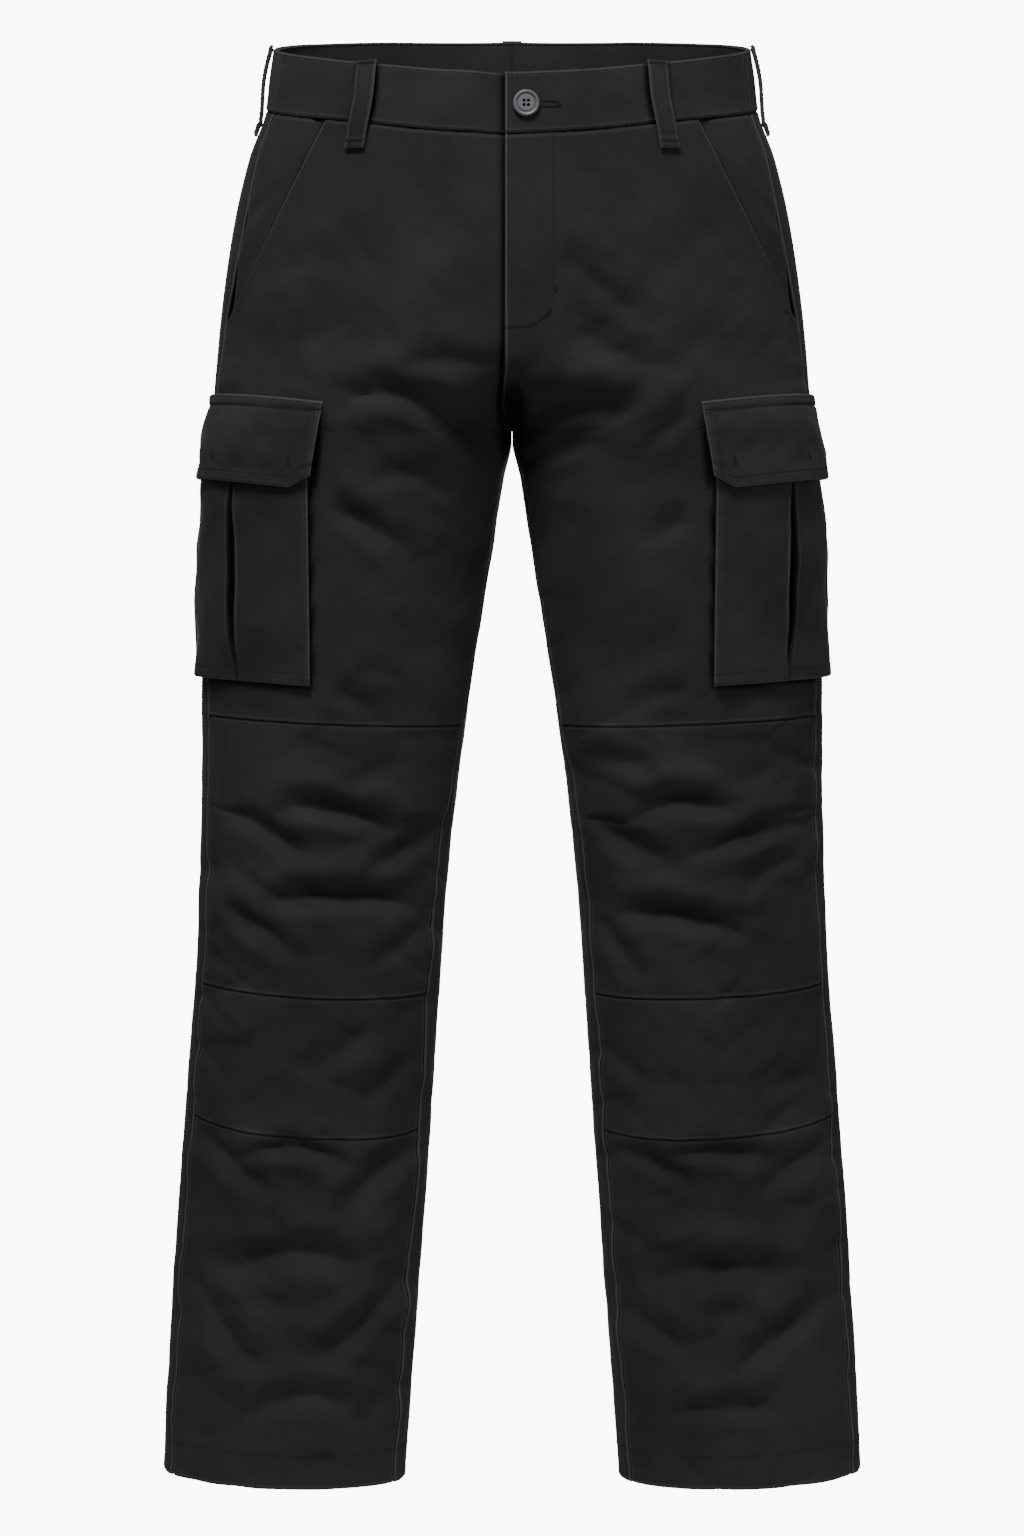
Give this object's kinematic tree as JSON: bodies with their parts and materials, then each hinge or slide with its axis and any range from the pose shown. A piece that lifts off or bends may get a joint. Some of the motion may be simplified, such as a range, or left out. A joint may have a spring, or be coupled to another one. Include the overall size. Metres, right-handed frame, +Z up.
{
  "type": "cargo pants",
  "caption": "Straight-legged black twill cargo pants with a flapped bellows pocket on each thigh, shaped knee panels, belt loops, a fly and a waist button, filled out as if worn.",
  "frame": {"origin": "middle of the waist opening, level with the middle of the waistband at the sides, where the wearer holds the garment", "axes": "+Z up from the hems to the waist, -Y towards the front, +X towards the wearer's left"},
  "size_m": [0.5296, 0.2349, 1.0935],
  "materials": {
    "leg_twill": "matt cotton-blend twill",
    "band_twill": "matt cotton-blend twill, two layers",
    "button_plastic": "satin"
  },
  "bodies": {
    "root": {"back_leg_lower_left": "leg_twill", "back_leg_lower_right": "leg_twill", "back_leg_upper_left": "leg_twill", "back_leg_upper_right": "leg_twill", "button": "button_plastic", "cargo_flap_left": "band_twill", "cargo_flap_right": "band_twill", "cargo_gusset_left": "leg_twill", "cargo_gusset_right": "leg_twill", "cargo_pocket_left": "leg_twill", "cargo_pocket_right": "leg_twill", "front_thigh_left": "leg_twill", "front_thigh_right": "leg_twill", "hip_facing_left": "leg_twill", "hip_facing_right": "leg_twill", "knee_panel_left": "leg_twill", "knee_panel_right": "leg_twill", "loop_back": "band_twill", "loop_front_left": "band_twill", "loop_front_right": "band_twill", "loop_side_left": "band_twill", "loop_side_right": "band_twill", "lower_front_left": "leg_twill", "lower_front_right": "leg_twill", "shin_band_left": "leg_twill", "shin_band_right": "leg_twill", "waistband_back": "band_twill", "waistband_left": "band_twill", "waistband_right": "band_twill"}
  },
  "joints": []
}
